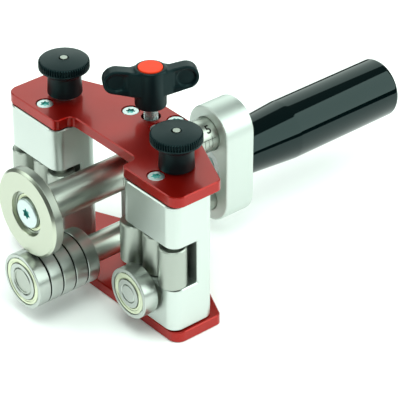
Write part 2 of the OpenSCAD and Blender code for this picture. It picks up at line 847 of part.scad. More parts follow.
// Shafts, yoke and handle
module upper_shaft() {
    journal_r = disc_bore / 2 - seat_gap;
    r = upper_d / 2;
    front = disc_y + journal_recess;
    length = yoke_shaft_end - seat_gap - front;
    color(steel) along_y(0, front, upper_z) difference() {
        turned([[0, 0], [journal_r - ring_chamfer, 0], [journal_r, ring_chamfer],
                [journal_r, journal_len], [r - shaft_chamfer, journal_len],
                [r, journal_len + shaft_chamfer], [r, length - shaft_chamfer],
                [r - shaft_chamfer, length], [0, length]]);
        translate([0, 0, -over]) cylinder(d = thread_m6_d + 2 * seat_gap, h = disc_screw_len + over);
        shaft_thread(length);
    }
}

module lower_shaft() {
    length = yoke_shaft_end - seat_gap - stack_y;
    color(steel) along_y(0, stack_y, lower_z) difference() {
        pin(lower_d, length, shaft_chamfer);
        translate([0, 0, -over]) cylinder(d = front_dish_d, h = front_dish_h + over);
        shaft_thread(length);
    }
}

// Threaded hole in a shaft's back end for its countersunk screw
module shaft_thread(length) {
    depth = screw_len + head_sink - (yoke_t - yoke_seat) + over;
    translate([0, 0, length - depth]) cylinder(d = screw_d + 2 * seat_gap, h = depth + over);
}

// Half of the yoke's cross-section, from its middle plane to one side
function yoke_half() = [
    [0, 0], [yoke_w / 2 - yoke_edge, 0], [yoke_w / 2, yoke_edge], [yoke_w / 2, yoke_t - yoke_edge],
    [yoke_w / 2 - yoke_edge, yoke_t], [0, yoke_t]
];

// A bar with half-round ends, all bevelled alike
module yoke_body() {
    r = yoke_w / 2;
    along_y(0, yoke_y, yoke_low_z + r) rotate_extrude(angle = 180) polygon(yoke_half());
    along_y(0, yoke_y, yoke_top_z - r) rotate([0, 0, 180]) rotate_extrude(angle = 180)
        polygon(yoke_half());
    translate([0, yoke_y, yoke_low_z + r]) linear_extrude(yoke_top_z - yoke_low_z - yoke_w) {
        polygon(yoke_half());
        mirror([1, 0]) polygon(yoke_half());
    }
}

module yoke() {
    color(aluminium) difference() {
        yoke_body();
        along_y(0, yoke_y - over, upper_z) cylinder(d = upper_d + 2 * seat_gap, h = yoke_seat + over);
        along_y(0, yoke_y - over, lower_z) cylinder(d = lower_d + 2 * seat_gap, h = yoke_seat + over);
        for (z = [upper_z, lower_z]) {
            translate([0, handle_y, z]) rotate([-90, 0, 0]) countersink(yoke_t);
        }
        along_y(0, yoke_y - over, handle_z) cylinder(d = bolt_recess_d, h = bolt_recess_h + over);
        along_y(0, yoke_y, handle_z) cylinder(d = bolt_d + 2 * hole_gap, h = yoke_t + over);
    }
}

module shaft_end_screws() {
    color(zinc) for (z = [upper_z, lower_z]) {
        translate([0, handle_y - head_sink, z]) rotate([-90, 0, 0]) countersunk();
    }
}

module handle() {
    r = handle_d / 2;
    neck_r = handle_neck_d / 2;
    edge = handle_edge_r;
    inner_r = bolt_d / 2 + insert_wall;
    color(black) along_y(0, handle_y, handle_z) difference() {
        turned([[0, 0], [neck_r - handle_front_edge, 0], [neck_r, handle_front_edge],
                for (t = taper_shares) [neck_r + (r - neck_r) * taper_rise(t), handle_taper * t],
                [r, handle_len - edge],
                for (t = [15:15:90]) [r - edge * (1 - cos(t)), handle_len - edge * (1 - sin(t))],
                [0, handle_len]]);
        translate([0, 0, -over]) cylinder(r = inner_r + seat_gap, h = insert_len + over + seat_gap);
        translate([0, 0, -over])
            cylinder(r = inner_r + insert_flange_wall + seat_gap, h = insert_flange_h + over);
    }
}
taper_shares = [0.2, 0.4, 0.6, 0.8, 1];
function taper_rise(t) = 1 - (1 - t) * (1 - t);

module handle_insert() {
    inner_r = bolt_d / 2 + insert_wall;
    color(bronze) along_y(0, handle_y + seat_gap, handle_z) difference() {
        union() {
            cylinder(r = inner_r, h = insert_len - seat_gap);
            cylinder(r = inner_r + insert_flange_wall, h = insert_flange_h - seat_gap);
        }
        translate([0, 0, -over])
            cylinder(d = bolt_d + 2 * seat_gap, h = bolt_into_handle + 2 * over);
    }
}

module handle_bolt() {
    head_y = yoke_y + bolt_recess_h - bolt_head_h;
    length = bolt_head_h + yoke_t - bolt_recess_h + bolt_into_handle;
    color(zinc) along_y(0, head_y - seat_gap, handle_z) difference() {
        turned([[0, 0], [bolt_head_d / 2 - bolt_edge, 0], [bolt_head_d / 2, bolt_edge],
                [bolt_head_d / 2, bolt_head_h], [bolt_d / 2, bolt_head_h], [bolt_d / 2, length],
                [0, length]]);
        translate([0, 0, -over]) cylinder(d = bolt_socket_d, h = bolt_head_h / 2 + over, $fn = 6);
    }
}
bolt_edge = 0.5;
bolt_socket_d = 6.9;

// Forming disc on its bearing
module forming_disc() {
    r = disc_d / 2;
    c = disc_chamfer;
    back = disc_back_chamfer;
    color(steel) along_y(0, disc_y, upper_z) turned([
        [disc_bearing_d / 2 + bore_chamfer, 0], [r - c, 0], [r, c], [r, disc_t - back],
        [r - back, disc_t], [disc_hub_d / 2, disc_t], [disc_hub_d / 2, disc_t + disc_hub_h],
        [disc_bearing_d / 2, disc_t + disc_hub_h], [disc_bearing_d / 2, bore_chamfer]]);
}
disc_chamfer = 1.1;
disc_back_chamfer = 0.6;
bore_chamfer = 0.4;

module disc_bearing_outer() {
    color(steel) along_y(0, disc_y + journal_recess, upper_z) difference() {
        outer_ring([disc_b[0] - seat_gap, disc_b[1], disc_b[2], disc_b[3], disc_b[4], disc_b[5]]);
    }
}

module disc_bearing_inner() {
    color(steel) along_y(0, disc_y + journal_recess, upper_z) inner_ring(
        [disc_b[0], disc_b[1] - seat_gap, disc_b[2] - seat_gap, disc_b[3], disc_b[4], disc_b[5]]);
}

module disc_balls() {
    color(steel) along_y(0, disc_y + journal_recess, upper_z) balls(disc_b);
}

module disc_screw() {
    r = disc_head_d / 2;
    color(zinc) along_y(0, disc_y + disc_head_recess, upper_z) difference() {
        turned([[0, 0], [r - bolt_edge, 0], [r, bolt_edge], [r, disc_head_t - seat_gap],
                [thread_m6_d / 2, disc_head_t - seat_gap], [thread_m6_d / 2, disc_screw_len],
                [0, disc_screw_len]]);
        translate([0, 0, -over])
            cylinder(d = disc_socket_d, h = disc_head_t * hex_depth_share + over, $fn = 6);
    }
}
disc_socket_d = 4.6;

// Bearing stack on the front of the lower shaft
module stack_place(i) {
    along_y(0, stack_y + i * stack_pitch, lower_z) children();
}

module stack_inner_rings() {
    color(steel) for (i = [0:stack_count - 1]) {
        stack_place(i) inner_ring(stack_b);
    }
}

module stack_shims() {
    color(zinc) for (i = [1:stack_count - 1]) {
        stack_place(i) translate([0, 0, -shim_t + seat_gap])
            tube(2 * stack_b[4], lower_d + 2 * seat_gap, shim_t - 2 * seat_gap);
    }
}

module stack_balls() {
    color(steel) for (i = [0:stack_count - 1]) {
        stack_place(i) balls(stack_b);
    }
}

module stack_bearing(i) {
    color(i == 0 ? shield_yellow : steel) stack_place(i) outer_ring(stack_b);
}

top_plate();
bottom_plate();
shaft_block();
upper_shaft_bush();
lower_shaft_bush();
top_plate_screws();
bottom_plate_screws();
pivot_pins(left);  // left_pivot_pins
pivot_pins(right);  // right_pivot_pins
guide_block(left);  // left_guide_block
guide_block(right);  // right_guide_block
roller_pins(left);  // left_roller_pins
roller_pins(right);  // right_roller_pins
roller(left, 1);  // left_outer_roller
roller(left, 0);  // left_middle_roller
roller(left, -1);  // left_inner_roller
roller(right, 1);  // right_outer_roller
roller(right, 0);  // right_middle_roller
roller(right, -1);  // right_inner_roller
support_axle(left);  // left_support_axle
support_axle(right);  // right_support_axle
support_inner_ring(left);  // left_support_inner_ring
support_inner_ring(right);  // right_support_inner_ring
support_bearing(left);  // left_support_bearing
support_bearing(right);  // right_support_bearing
support_balls(left);  // left_support_balls
support_balls(right);  // right_support_balls
plunger_sleeve(left);  // left_plunger_sleeve
plunger_sleeve(right);  // right_plunger_sleeve
plunger_spring(left);  // left_plunger_spring
plunger_spring(right);  // right_plunger_spring
plunger_pin(left);  // left_plunger_pin
plunger_pin(right);  // right_plunger_pin
knob(left);  // left_knob
knob(right);  // right_knob
wing_knob();
wing_cap();
wing_stud();
clamp_pad();
upper_shaft();
lower_shaft();
yoke();
shaft_end_screws();
handle();
handle_insert();
handle_bolt();
forming_disc();
disc_bearing_outer();
disc_bearing_inner();
disc_balls();
disc_screw();
stack_inner_rings();
stack_shims();
stack_balls();
stack_bearing(0);  // stack_bearing_1
stack_bearing(1);  // stack_bearing_2
stack_bearing(2);  // stack_bearing_3
stack_bearing(3);  // stack_bearing_4
stack_bearing(4);  // stack_bearing_5
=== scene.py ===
"""The roller edge bender in its real finishes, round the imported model."""
import json
import math

import bmesh
import bpy
from mathutils import Matrix, Vector


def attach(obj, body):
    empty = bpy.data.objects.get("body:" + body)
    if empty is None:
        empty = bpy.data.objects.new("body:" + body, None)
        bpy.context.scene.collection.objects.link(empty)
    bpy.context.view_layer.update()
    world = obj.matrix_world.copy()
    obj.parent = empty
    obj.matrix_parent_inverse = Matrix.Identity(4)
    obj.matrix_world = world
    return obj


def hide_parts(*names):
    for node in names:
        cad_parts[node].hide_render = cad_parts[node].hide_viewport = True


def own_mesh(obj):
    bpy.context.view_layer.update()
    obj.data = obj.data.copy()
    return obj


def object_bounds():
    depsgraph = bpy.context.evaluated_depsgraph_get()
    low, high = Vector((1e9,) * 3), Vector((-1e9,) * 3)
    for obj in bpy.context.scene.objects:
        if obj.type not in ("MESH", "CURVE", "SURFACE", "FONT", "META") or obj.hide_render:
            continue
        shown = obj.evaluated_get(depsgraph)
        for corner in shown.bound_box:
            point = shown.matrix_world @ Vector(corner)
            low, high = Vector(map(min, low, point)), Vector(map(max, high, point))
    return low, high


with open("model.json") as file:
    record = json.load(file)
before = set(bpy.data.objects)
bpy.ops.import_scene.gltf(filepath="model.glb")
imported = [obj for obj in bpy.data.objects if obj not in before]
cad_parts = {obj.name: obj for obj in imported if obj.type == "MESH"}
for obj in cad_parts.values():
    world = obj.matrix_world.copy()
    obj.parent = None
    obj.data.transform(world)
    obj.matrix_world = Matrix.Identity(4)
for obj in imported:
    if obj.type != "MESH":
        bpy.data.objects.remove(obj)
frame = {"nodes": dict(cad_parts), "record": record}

MM = 0.001
cad_low, cad_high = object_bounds()
scene = bpy.context.scene
scene.view_settings.view_transform = "Standard"


# The tool's own sizes, in mm, as in the part's source

SIDES = (("left", -1), ("right", 1))
PLATE_T, PLATE_TOP = 5.0, 70.0
PIVOT_X, PIVOT_Y = 36.4, -15.5
PLUNGER_Y, PLUNGER_STROKE, LEFT_RAISE = -5.0, 5.0, 1.2
SUPPORT_X, SUPPORT_Y, SUPPORT_Z = 35.6, -30.2, 19.0
BLOCK_FRONT = -22.0
ROLLER_PITCH, ROLLER_STEP = 12.1, 1.9
UPPER_Z, LOWER_Z = 49.5, 18.0
UPPER_R, LOWER_R = 7.4, 6.0
DISC_Y = -53.5
STACK_Y, STACK_COUNT, STACK_PITCH = -56.9, 5, 6.3
YOKE_FRONT, YOKE_BACK, YOKE_T = 42.0, 57.4, 15.4
STUD_Y, STUD_R = 11.5, 3.0
WING_ANGLE = 59.0
# How much wider in radius a bore is than what sits in it
FIT_GAP = 0.01


# Nodes and colours

def srgb(hex_colour):
    """A hex colour as the screen shows it, turned to linear light."""
    parts = [int(hex_colour[i:i + 2], 16) / 255 for i in (1, 3, 5)]
    return [p / 12.92 if p <= 0.04045 else ((p + 0.055) / 1.055) ** 2.4 for p in parts] + [1.0]


def add(tree, kind, inputs=None, **settings):
    """Adds a node, sets it up, and fills its inputs with values or links."""
    made = tree.nodes.new(kind)
    for name, value in settings.items():
        setattr(made, name, value)
    for name, value in (inputs or {}).items():
        if isinstance(value, bpy.types.NodeSocket):
            tree.links.new(value, made.inputs[name])
        else:
            made.inputs[name].default_value = value
    return made


def finish(name, light, dark, cloud_mm, rough, grain_mm, grain_depth, **surface):
    """A surface of two close shades in soft clouds, less glossy where it is lighter, with a fine relief.

    cloud_mm is the size of a cloud, rough the lowest and highest roughness, grain_mm the size of one
    grain along X, Y and Z, and grain_depth its depth in mm. surface sets the shader's own sockets.
    """
    made = bpy.data.materials.new(name)
    made.use_nodes = True
    tree = made.node_tree
    shader = tree.nodes["Principled BSDF"]
    for socket, value in surface.items():
        shader.inputs[socket.replace("_", " ")].default_value = value
    # object coordinates are the whole tool's, in metres
    where = add(tree, "ShaderNodeTexCoord").outputs["Object"]
    cloud = add(tree, "ShaderNodeTexNoise", {"Vector": where, "Scale": 1000 / cloud_mm, "Detail": 4.0})
    shade = add(tree, "ShaderNodeMix", {"Factor": cloud.outputs["Fac"], "A": srgb(dark), "B": srgb(light)},
                data_type="RGBA")
    tree.links.new(shade.outputs["Result"], shader.inputs["Base Color"])
    gloss = add(tree, "ShaderNodeMapRange", {"Value": cloud.outputs["Fac"], "From Min": 0.3, "From Max": 0.7,
                                             "To Min": rough[0], "To Max": rough[1]})
    tree.links.new(gloss.outputs["Result"], shader.inputs["Roughness"])
    lines = add(tree, "ShaderNodeVectorMath", {0: where, 1: [1000 / size for size in grain_mm]},
                operation="MULTIPLY")
    grain = add(tree, "ShaderNodeTexNoise", {"Vector": lines.outputs["Vector"], "Scale": 1.0, "Detail": 2.0})
    bump = add(tree, "ShaderNodeBump", {"Height": grain.outputs["Fac"], "Distance": grain_depth * MM})
    tree.links.new(bump.outputs["Normal"], shader.inputs["Normal"])
    return made


# Materials
#
# Cutter lines, grinding lines and blasted or moulded grain are 0.02 to 0.1 mm wide on the real pieces,
# too fine to show. They are drawn 0.3 to 0.4 mm wide.

# Aluminium, milled and anodised red: satin metal seen through a dyed skin, whose clear top gives a pale sheen
RED = finish("red_anodised_aluminium", "#b7190c", "#a9120a", 16, (0.5, 0.58), (0.3, 0.3, 0.3), 0.004,
             Metallic=1.0, Coat_Weight=0.6, Coat_Roughness=0.16, Coat_IOR=1.5)
# Aluminium bar, fine milled: pale and satin, with cutter lines across the faces
BLOCK = finish("milled_block_aluminium", "#d6dcd8", "#cad1cc", 22, (0.36, 0.44), (9, 9, 0.3), 0.008,
               Metallic=1.0)
# Aluminium, glass-bead blasted: pale and even, with a soft spread highlight
YOKE = finish("blasted_yoke_aluminium", "#d6dcd8", "#cbd2cd", 22, (0.42, 0.5), (0.4, 0.4, 0.4), 0.006,
              Metallic=1.0)
# Hardened steel, ground between centres: bright, with hair lines round the shaft
SHAFT = finish("ground_shaft_steel", "#bcc1b9", "#b0b5ad", 14, (0.3, 0.38), (2, 0.3, 2), 0.002, Metallic=1.0)
# Hardened steel rollers, ground: hair lines round the roller
ROLLER = finish("ground_roller_steel", "#b3b8b0", "#a7aca4", 14, (0.36, 0.44), (2, 2, 0.3), 0.003,
                Metallic=1.0)
# The disc's rim, hardened and ground, with painted shade: a darker grey than its faces, for the dimmer light
# it reflects
RIM_STEEL_AND_SHADE = finish("ground_rim_steel_painted_darker", "#979a92", "#8c8f87", 14, (0.3, 0.38), (2, 0.3, 2), 0.002, Metallic=1.0)
# Bearing steel, ground and polished: bright, with long clear reflections
RING = finish("polished_ring_steel", "#c4c9c4", "#b8bdb8", 14, (0.27, 0.34), (3, 0.4, 3), 0.001, Metallic=1.0)
# Painted shade: the same steel drawn dark and dull on the flat sides of the stacked rings, for the shade in
# the narrow gaps between them
GAP_SHADE = finish("painted_gap_shade_steel", "#2a2d29", "#1d201d", 3, (0.5, 0.6), (1, 1, 1), 0.004, IOR=1.4)
# Steel, zinc plated and passivated blue: bright and cool, with cloudy crystals
ZINC = finish("blue_zinc_plate", "#e4eeee", "#c2d0d0", 1.2, (0.32, 0.46), (0.4, 0.4, 0.4), 0.004,
              Metallic=1.0)
# The same plating in the key holes, with painted shade: a darker, clear blue green for the shade inside the
# holes
KEY_HOLE_SHADE = finish("blue_zinc_key_hole_painted_shade", "#9fe3de", "#58b7b3", 0.8, (0.35, 0.5), (0.4, 0.4, 0.4), 0.004,
                Metallic=1.0)
# Pressed steel shields, zinc plated and passivated yellow: a pale yellow green
SHIELD = finish("yellow_zinc_shield", "#dfe4cb", "#d3d9be", 1.5, (0.3, 0.4), (0.5, 0.5, 0.5), 0.003,
                Metallic=1.0)
# Glass-filled nylon, moulded: near black with a green grey cast, satin, with the mould's spark-eroded grain
NYLON = finish("moulded_black_nylon", "#04171a", "#031013", 9, (0.36, 0.46), (0.3, 0.3, 0.3), 0.008, IOR=1.33,
               Specular_Tint=(0.55, 0.92, 0.92, 1.0))
# Phenolic resin, moulded and polished: deep black with a wet gloss and a faint long waviness
PHENOLIC = finish("polished_phenolic", "#020b0c", "#010708", 25, (0.03, 0.06), (14, 14, 14), 0.012, IOR=1.4,
                  Specular_Tint=(0.7, 0.95, 0.95, 1.0))
# Polypropylene cap, moulded: plain orange red, satin
ORANGE = finish("moulded_orange_polypropylene", "#d8350a", "#cb2f08", 6, (0.45, 0.55), (0.3, 0.3, 0.3), 0.006,
                IOR=1.33)
# Bronze bushes, sintered: brown gold and dull, with fine pores
BRONZE = finish("sintered_bronze", "#b98a55", "#a67848", 3, (0.35, 0.45), (0.3, 0.3, 0.3), 0.006,
                Metallic=1.0)
# Brass insert, turned: yellow, with tool lines round it
BRASS = finish("turned_brass", "#d9b86c", "#c9a65a", 3, (0.22, 0.32), (2, 0.3, 2), 0.004, Metallic=1.0)
# Spring wire, drawn hard: grey and smooth
SPRING = finish("drawn_spring_wire", "#9c9c98", "#8c8c88", 3, (0.3, 0.4), (0.4, 0.4, 0.4), 0.003,
                Metallic=1.0)
# Lines rolled into the shaft and filled: brown black and dull
INK = finish("scale_filling", "#1d1a16", "#151310", 0.6, (0.6, 0.8), (0.3, 0.3, 0.3), 0.002, IOR=1.3)


def turned_face():
    """Hardened steel, faced on a lathe: satin, with faint rings round the disc."""
    made = finish("faced_disc_steel", "#c8ccbc", "#bdc1b1", 20, (0.28, 0.34), (3, 3, 3), 0.001, Metallic=1.0)
    tree = made.node_tree
    shader = tree.nodes["Principled BSDF"]
    # distance from the disc's axis, which runs along Y at the upper shaft's height
    where = add(tree, "ShaderNodeTexCoord").outputs["Object"]
    centred = add(tree, "ShaderNodeVectorMath", {0: where, 1: (0.0, 0.0, UPPER_Z * MM)}, operation="SUBTRACT")
    flat = add(tree, "ShaderNodeVectorMath", {0: centred.outputs["Vector"], 1: (1.0, 0.0, 1.0)},
               operation="MULTIPLY")
    ring = add(tree, "ShaderNodeVectorMath", {0: flat.outputs["Vector"]}, operation="LENGTH")
    # the tool's feed was 0.1 mm a turn, drawn at 0.4 mm to show
    feed_mm = 0.4
    turns = add(tree, "ShaderNodeMath", {0: ring.outputs["Value"], 1: 1000 / feed_mm}, operation="MULTIPLY")
    lines = add(tree, "ShaderNodeTexNoise", {"W": turns.outputs["Value"], "Scale": 1.0, "Detail": 2.0},
                noise_dimensions="1D")
    bump = add(tree, "ShaderNodeBump", {"Height": lines.outputs["Fac"], "Distance": 0.003 * MM})
    tree.links.new(bump.outputs["Normal"], shader.inputs["Normal"])
    return made


DISC = turned_face()

CAD_FINISH = {
    "red_plate": RED, "aluminium_parts": YOKE, "aluminium_blocks": BLOCK, "bronze_bushes": BRONZE,
    "zinc_hardware": ZINC, "ground_steel": ROLLER, "bearing_steel": RING, "bearing_shields": RING,
    "spring_wire": SPRING, "black_nylon": NYLON, "orange_cap": ORANGE, "brass_parts": BRASS,
    "shafts": SHAFT, "handle_plastic": PHENOLIC, "disc_steel": DISC,
}
SLOT_OF = {row["node"]: row["material_slot"] for row in frame["record"]["subparts"]}
BODY_OF = {node: body for body, nodes in frame["record"]["behaviour"]["bodies"].items() for node in nodes}
for name, obj in frame["nodes"].items():
    for row in obj.material_slots:
        row.material = CAD_FINISH[SLOT_OF[name]]


# Mesh building

def at(x, y, z, along="Z"):
    """Where a piece drawn round Z goes, in mm: upright, or along Y with its front at y."""
    turn = Matrix.Rotation(math.radians(-90), 4, "X") if along == "Y" else Matrix.Identity(4)
    return Matrix.Translation(Vector((x, y, z)) * MM) @ turn


def spun(angle):
    """A turn round Z, in radians."""
    return Matrix.Rotation(angle, 4, "Z")


# Upside down, turned over about X
FLIP = Matrix.Rotation(math.pi, 4, "X")


def soften(points, radius, closed=False, steps=4):
    """Rounds the corners of a profile in mm. radius is one number or one for each point."""
    count = len(points)
    radii = radius if isinstance(radius, (list, tuple)) else [radius] * count
    # an arc takes no more than this share of a side, and a corner flatter than this stays
    most_share, flattest = 0.48, math.radians(88)
    made = []
    for i, point in enumerate(points):
        here = Vector(point)
        if radii[i] <= 0 or (not closed and i in (0, count - 1)):
            made.append(tuple(here))
            continue
        before, after = Vector(points[i - 1]) - here, Vector(points[(i + 1) % count]) - here
        half = before.angle(after) / 2
        if half > flattest:
            made.append(tuple(here))
            continue
        reach = min(radii[i] / math.tan(half), most_share * before.length, most_share * after.length)
        size = reach * math.tan(half)
        a, b = before.normalized(), after.normalized()
        centre = here + (a + b).normalized() * (size / math.sin(half))
        start, swing = here + a * reach - centre, math.pi - 2 * half
        turn = 1 if a.x * b.y - a.y * b.x < 0 else -1
        for k in range(steps + 1):
            angle = turn * swing * k / steps
            made.append(tuple(centre + Matrix.Rotation(angle, 2) @ start))
    return made


def turned(profile, steps=96, closed=False, swell=None):
    """A turned solid round Z from (radius, height) pairs in mm. swell(angle, height) adds to the radius."""
    solid = bmesh.new()
    rows = []
    for radius, height in profile:
        if radius < 1e-6:
            rows.append([solid.verts.new((0, 0, height * MM))])
            continue
        row = []
        for k in range(steps):
            angle = 2 * math.pi * k / steps
            size = (radius + (swell(angle, height) if swell else 0)) * MM
            row.append(solid.verts.new((size * math.cos(angle), size * math.sin(angle), height * MM)))
        rows.append(row)
    for low, high in zip(rows, rows[1:] + (rows[:1] if closed else [])):
        if len(low) == len(high) == 1:
            continue
        for k in range(steps):
            n = (k + 1) % steps
            if len(low) == 1:
                solid.faces.new((low[0], high[n], high[k]))
            elif len(high) == 1:
                solid.faces.new((low[k], low[n], high[0]))
            else:
                solid.faces.new((low[k], low[n], high[n], high[k]))
    bmesh.ops.recalc_face_normals(solid, faces=solid.faces)
    return solid


def drill(radius, low, high, steps=48):
    """A plain round tool for cutting, upright, in mm."""
    return turned([(0, low), (radius, low), (radius, high), (0, high)], steps)


def prism(outline, low, high):
    """An upright prism from an outline in mm."""
    solid = bmesh.new()
    base = solid.faces.new([solid.verts.new((x * MM, y * MM, low * MM)) for x, y in outline])
    raised = bmesh.ops.extrude_face_region(solid, geom=[base])["geom"]
    tops = [v for v in raised if isinstance(v, bmesh.types.BMVert)]
    bmesh.ops.translate(solid, verts=tops, vec=(0, 0, (high - low) * MM))
    bmesh.ops.recalc_face_normals(solid, faces=solid.faces)
    return solid


def joined(*solids):
    """Several solids as one mesh. Each is a bmesh, or a bmesh and its place."""
    whole = bmesh.new()
    for row in solids:
        solid, where = row if isinstance(row, tuple) else (row, None)
        if where is not None:
            solid.transform(where)
        part = bpy.data.meshes.new("part")
        solid.to_mesh(part)
        whole.from_mesh(part)
        bpy.data.meshes.remove(part)
    return whole


def shaded(solid, sharp):
    """Shades a solid smooth but for edges sharper than the angle."""
    for face in solid.faces:
        face.smooth = True
    for edge in solid.edges:
        edge.smooth = not (edge.is_manifold and edge.calc_face_angle(0) > math.radians(sharp))


def shown(name, solid, material, sharp=32.0):
    """Puts a solid in the scene with its material, or its materials in the order of the faces' numbers."""
    shaded(solid, sharp)
    mesh = bpy.data.meshes.new(name)
    solid.to_mesh(mesh)
    solid.free()
    for row in material if isinstance(material, (list, tuple)) else [material]:
        mesh.materials.append(row)
    made = bpy.data.objects.new(name, mesh)
    scene.collection.objects.link(made)
    return made


def baked(piece):
    """The piece with its modifiers worked into its mesh."""
    depsgraph = bpy.context.evaluated_depsgraph_get()
    mesh = bpy.data.meshes.new_from_object(piece.evaluated_get(depsgraph))
    piece.modifiers.clear()
    piece.data = mesh
    return piece


def eased(piece, width, steps=2, angle=32.0):
    """Breaks a piece's edges that are sharper than the angle, width in mm."""
    bevel = piece.modifiers.new("ease", "BEVEL")
    bevel.width, bevel.segments, bevel.limit_method = width * MM, steps, "ANGLE"
    bevel.angle_limit = math.radians(angle)
    bevel.use_clamp_overlap = False
    bevel.harden_normals = True
    return baked(piece)


def cut(piece, *tools):
    """Cuts solids out of a piece. Each tool is a bmesh, or a bmesh and its place."""
    tool = shown("tool", joined(*tools), list(piece.data.materials))
    knife = piece.modifiers.new("cut", "BOOLEAN")
    knife.object, knife.operation, knife.solver = tool, "DIFFERENCE", "EXACT"
    knife.use_self = True
    baked(piece)
    bpy.data.objects.remove(tool)
    return piece


def resharpened(piece, sharp=32.0):
    """Smooth faces again after a cut, with edges sharper than the angle kept."""
    solid = bmesh.new()
    solid.from_mesh(piece.data)
    shaded(solid, sharp)
    solid.to_mesh(piece.data)
    solid.free()
    return piece


def fit(piece, body, slot, *nodes):
    """Rides the piece on its body and hides the nodes that it stands for. slot is not used."""
    # broad faces stay flat to the light, and only the narrow ones beside them curve
    even = piece.modifiers.new("even", "WEIGHTED_NORMAL")
    even.keep_sharp, even.weight = True, 100
    baked(piece)
    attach(piece, body)
    if nodes:
        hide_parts(*nodes)
    return piece


def carried(node, width=0.0, material=None):
    """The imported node's own shape with round faces shaded round and its edges broken by width mm."""
    solid = bmesh.new()
    solid.from_mesh(frame["nodes"][node].data)
    bmesh.ops.remove_doubles(solid, verts=solid.verts, dist=1e-7)
    if width:
        # only nearly flat neighbours become one face, so round sides keep theirs
        bmesh.ops.dissolve_limit(solid, angle_limit=math.radians(0.6), verts=solid.verts, edges=solid.edges)
    piece = shown(node + "_finished", solid, material or CAD_FINISH[SLOT_OF[node]], 25.0)
    if width:
        eased(piece, width)
    return fit(piece, BODY_OF[node], SLOT_OF[node], node)


# Screws

def star(radius, root, lobes=6, steps=8):
    """Outline of a star-shaped key hole."""
    points = []
    for k in range(lobes * steps):
        angle = 2 * math.pi * k / (lobes * steps)
        share = 0.5 + 0.5 * math.cos(lobes * angle)
        size = root + (radius - root) * share ** 0.8
        points.append((size * math.cos(angle), size * math.sin(angle)))
    return points


def key_hole(radius, root):
    """The star-shaped hole as a tool for cutting, 0.6 mm deep, its faces in the second material, which paints
    the shade in the hole.
    """
    hole = prism(star(radius, root), -0.6, 1.2)
    # painted shade: the hole's faces take the darker blue green
    for face in hole.faces:
        face.material_index = 1
    return hole


def sunk_screw():
    """A countersunk screw, head up at z = 0."""
    head = soften([(0, 0.0), (3.42, 0.0), (3.5, -0.4), (2.0, -1.9), (2.0, -12.0), (0, -12.0)],
                  [0, 0.25, 0.2, 0.2, 0.3, 0])
    return turned(head, 40)


def screw_hole(depth):
    """The hole of a sunk screw as a tool for cutting, with the wider seat of its head."""
    return turned([(0, 1), (3.9, 1), (3.9, -0.7), (3.7, -0.7), (2.2, -2.2), (2.2, -depth), (0, -depth)], 48)


def make_sunk_screws(name, places, body, node):
    """A set of sunk screws with star-shaped key holes, each turned as its thread happened to end."""
    piece = shown(name, joined(*[(sunk_screw(), where) for where in places]), [ZINC, KEY_HOLE_SHADE])
    cut(piece, *[(key_hole(2.0, 1.3), where @ spun(0.4 + 0.7 * i)) for i, where in enumerate(places)])
    return fit(resharpened(piece), body, "zinc_hardware", node)


def plate_screw_spots():
    """Where each plate's screws go: one over each pivot pin and four into the shaft block."""
    return [(s * PIVOT_X, PIVOT_Y) for _, s in SIDES] + [(s * 9.0, y) for _, s in SIDES for y in (8.0, 17.3)]


def make_screws():
    """All countersunk screws, and the flat-headed one that holds the disc."""
    sunk = 0.3
    over = [at(x, y, PLATE_TOP - sunk) for x, y in plate_screw_spots()]
    make_sunk_screws("top_screws", over, "frame", "top_plate_screws")
    under = [at(x, y, sunk) @ FLIP for x, y in plate_screw_spots()]
    make_sunk_screws("under_screws", under, "frame", "bottom_plate_screws")
    rear = [at(0, YOKE_BACK - sunk, z, "Y") for z in (UPPER_Z, LOWER_Z)]
    make_sunk_screws("yoke_rear_screws", rear, "carriage", "shaft_end_screws")
    pan = soften([(0, 0), (6.5, 0), (6.5, 1.49), (3.0, 1.49), (3.0, 14), (0, 14)], [0, 0.7, 0, 0, 0.3, 0])
    where = at(0, DISC_Y + sunk, UPPER_Z, "Y")
    disc_screw = shown("disc_screw_head", joined((turned(pan, 64), where)), [ZINC, KEY_HOLE_SHADE])
    cut(disc_screw, (key_hole(2.35, 1.5), where @ spun(0.3)))
    fit(resharpened(disc_screw), "carriage", "zinc_hardware", "disc_screw")


# Ball bearings

def bearing_ring(outer, bore, width):
    """Outer ring of a ball bearing and its two pressed shields, front at z = 0, and where the shields sit.

    outer and bore are radii. Ring faces are number 0 and shield faces number 1.
    """
    spread, bevel, inset = outer - bore, 0.18, 0.2
    # the ring takes the outer quarter of the spread, the inner ring the inner third
    seat, inner = bore + 0.76 * spread, bore + 0.32 * spread + 0.35
    land, edge = seat - 0.5, seat - 0.38
    half = [(land, 0.9), (seat, 0.9), (seat, inset), (outer - bevel, inset), (outer, inset + bevel)]
    ring_solid = turned(half + [(r, width - z) for r, z in reversed(half)], 128, closed=True)
    # a shield is pressed in two steps, which meet here
    middle = inner + 0.42 * (edge - inner)
    front = [(edge, 0.85), (edge, 0.35), (edge - 0.12, 0.24), (middle + 0.1, 0.24), (middle - 0.1, 0.46),
             (inner + 0.3, 0.46), (inner + 0.12, 0.26), (inner, 0.26), (inner, 0.85)]
    shields = [turned(front, 128, closed=True) for _ in range(2)]
    shields[1].transform(at(0, 0, width) @ FLIP)
    for solid, number in [(ring_solid, 0), (shields[0], 1), (shields[1], 1)]:
        for face in solid.faces:
            face.material_index = number
    return joined(ring_solid, *shields), seat


